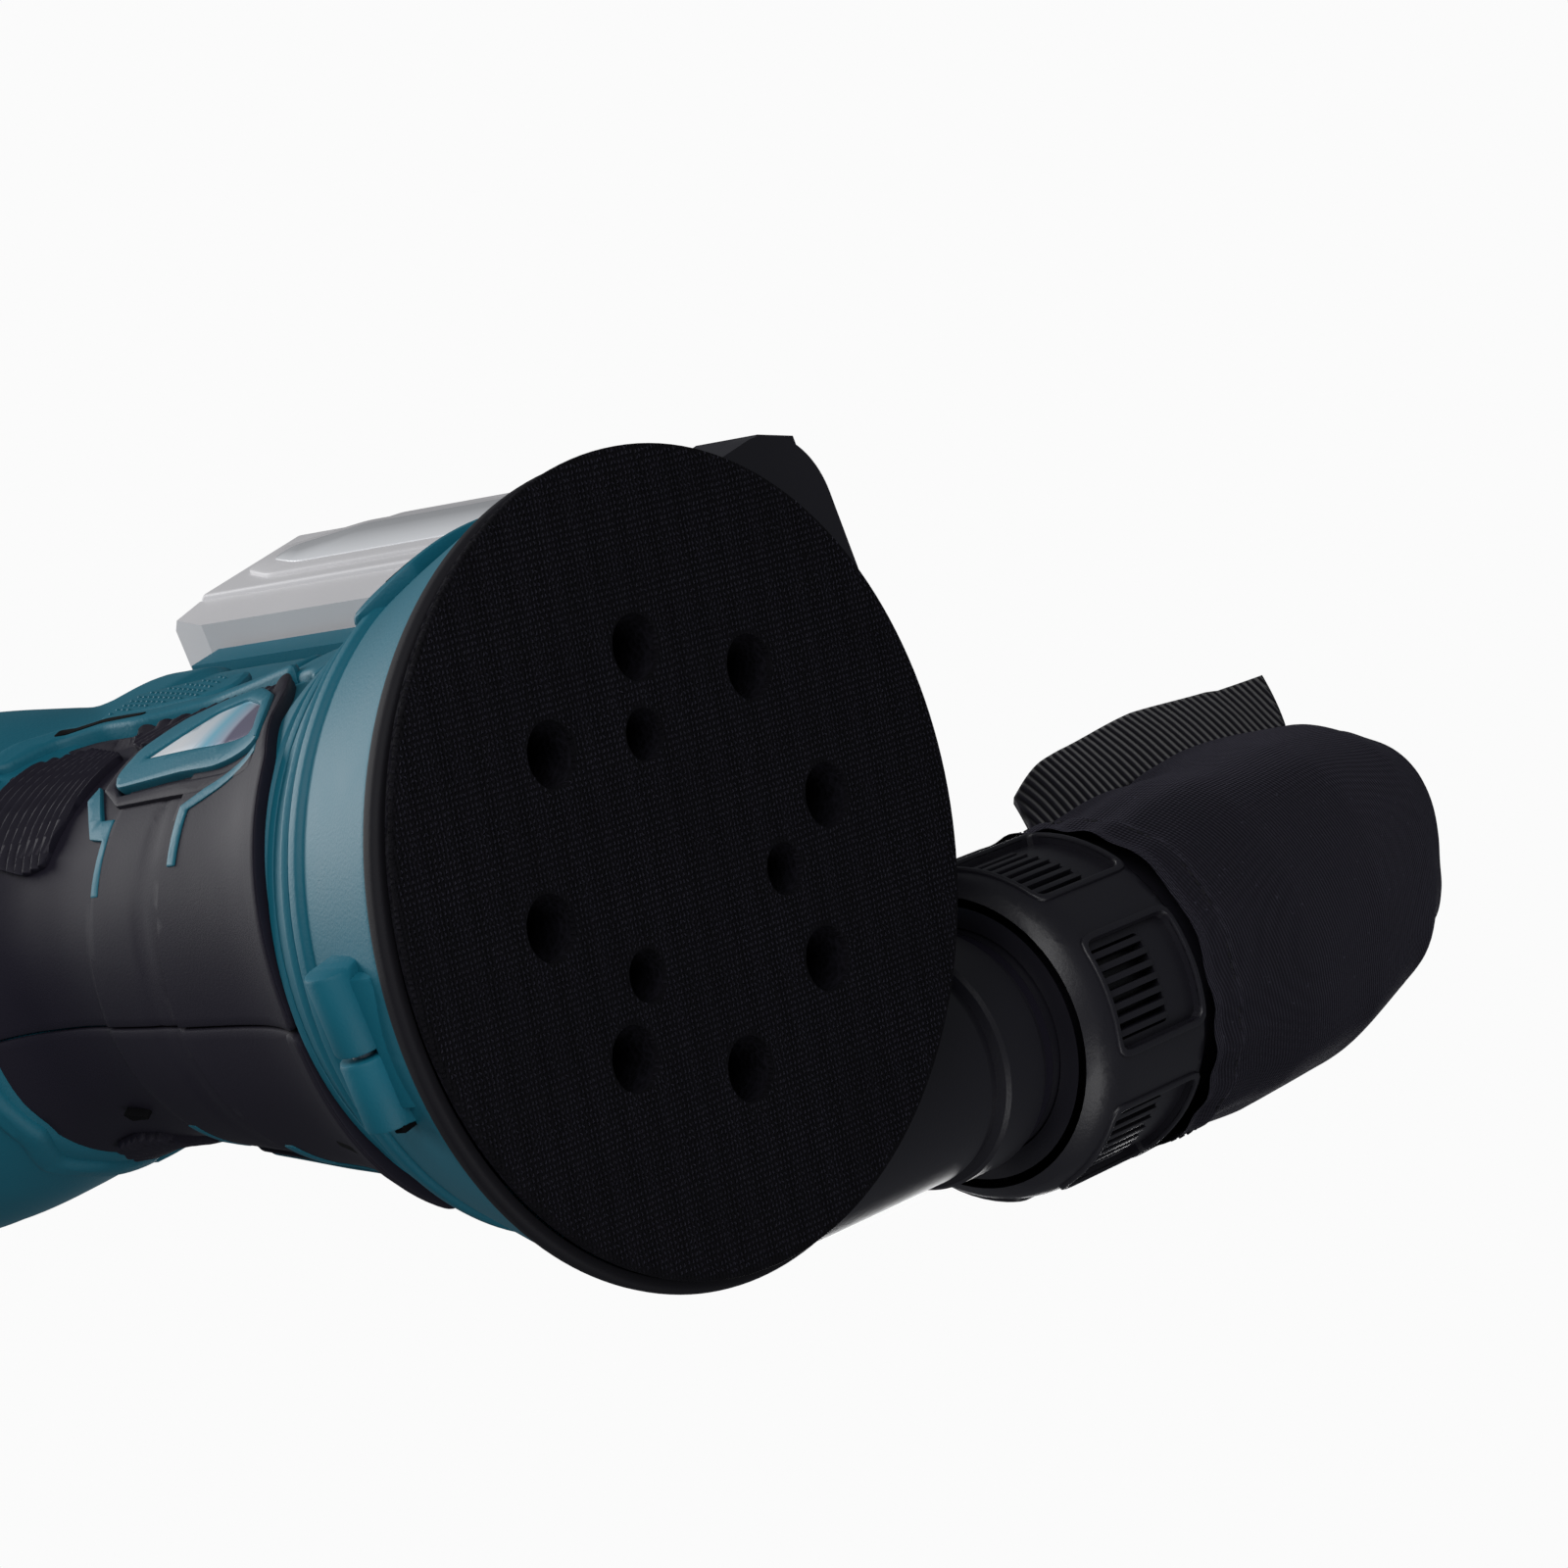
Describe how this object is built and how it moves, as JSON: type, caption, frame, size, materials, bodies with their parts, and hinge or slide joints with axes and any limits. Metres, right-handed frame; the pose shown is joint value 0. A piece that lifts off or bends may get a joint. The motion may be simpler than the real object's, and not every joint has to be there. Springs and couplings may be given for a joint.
{
  "type": "orbital sander",
  "caption": "Cordless random orbit sander with a round hook-faced pad, clamped fan shroud, palm grip, rear slide-on battery and a side dust outlet with a cloth dust bag.",
  "frame": {"origin": "on the motor axis, in the plane of the sanding face", "axes": "+Z from the sanding face up the motor axis to the palm grip, -Y to the front seam, +Y to the battery, the dust outlet on the -X side"},
  "size_m": [0.179, 0.2663, 0.172],
  "materials": {
    "teal_shell": "fine moulded texture, satin",
    "dark_rubber": "soft-touch overmould",
    "black_plastic": "fine moulded texture",
    "pad_hook": "hook tape",
    "foam": "closed-cell foam",
    "badge_plate": "smooth",
    "button_red": "smooth",
    "button_grey": "moulded",
    "battery_shell": "fine moulded texture",
    "battery_label": "printed film",
    "latch_red": "smooth",
    "steel": "ground",
    "bracket": "die cast",
    "laminate": "stamped",
    "copper_wire": "enamelled wire",
    "magnet": "sintered",
    "fan_plastic": "moulded",
    "circuit_board": "solder mask",
    "board_part": "moulded",
    "terminal": "plated",
    "cell": "shrink sleeve",
    "bag_cloth": "brushed woven cloth",
    "bag_rib": "corded cloth"
  },
  "bodies": {
    "tool": {"housing_left": "teal_shell", "housing_right": "teal_shell", "overmould_left": "dark_rubber", "overmould_right": "dark_rubber", "palm_grip": "dark_rubber", "fan_shroud": "teal_shell", "clamp_band": "teal_shell", "clamp_screw": "steel", "rubber_skirt": "dark_rubber", "brake_ring": "dark_rubber", "dust_duct": "black_plastic", "duct_seal": "dark_rubber", "stator": "laminate", "windings": "copper_wire", "upper_bearing": "steel", "lower_bearing": "steel", "upper_bracket": "bracket", "lower_bracket": "bracket", "bracket_screws": "steel", "control_board": "circuit_board", "board_parts": "board_part", "button_panel": "black_plastic", "battery_rails": "black_plastic", "battery_terminals": "terminal", "battery_guard": "black_plastic", "badge_left": "badge_plate", "badge_right": "badge_plate"},
    "spindle": {"motor_shaft": "steel", "rotor_core": "laminate", "rotor_magnets": "magnet", "cooling_fan": "fan_plastic", "dust_fan": "bracket", "pad_bearing": "steel"},
    "pad": {"pad_hub": "bracket", "pad_plate": "black_plastic", "pad_foam": "foam", "pad_hooks": "pad_hook", "pad_screws": "steel"},
    "battery": {"battery_case": "battery_shell", "battery_lid": "battery_shell", "battery_cells": "cell", "cell_holder": "board_part", "battery_board": "circuit_board", "battery_label_left": "battery_label", "battery_label_right": "battery_label", "battery_screws": "steel"},
    "latch": {"battery_latch": "latch_red"},
    "power": {"power_button": "button_red"},
    "speed": {"speed_button": "button_grey"},
    "dust_bag_unit": {"nozzle_ring": "black_plastic", "bag_collar": "black_plastic", "dust_bag": "bag_cloth", "bag_flap": "bag_rib"}
  },
  "joints": [
    {"name": "spindle_spin", "type": "hinge", "parent": "tool", "child": "spindle", "pos_m": [0, 0, 0], "axis": [0, 0, 1], "continuous": true},
    {"name": "pad_spin", "type": "hinge", "parent": "spindle", "child": "pad", "pos_m": [0.00127, 0.00059, 0], "axis": [0, 0, 1], "continuous": true},
    {"name": "battery_slide", "type": "slide", "parent": "tool", "child": "battery", "axis": [0, 0, 1], "range_m": [0, 0.1]},
    {"name": "latch_pull", "type": "slide", "parent": "battery", "child": "latch", "axis": [0, 0, 1], "range_m": [0, 0.003], "stiffness_N_per_m": 500},
    {"name": "power_press", "type": "slide", "parent": "tool", "child": "power", "axis": [0, 0.9781, 0.2079], "range_m": [0, 0.0012], "stiffness_N_per_m": 500},
    {"name": "speed_press", "type": "slide", "parent": "tool", "child": "speed", "axis": [0, 0.9781, 0.2079], "range_m": [0, 0.0012], "stiffness_N_per_m": 500},
    {"name": "dust_bag_pull", "type": "slide", "parent": "tool", "child": "dust_bag_unit", "axis": [-0.2215, 0.9751, 0], "range_m": [0, 0.03]}
  ]
}
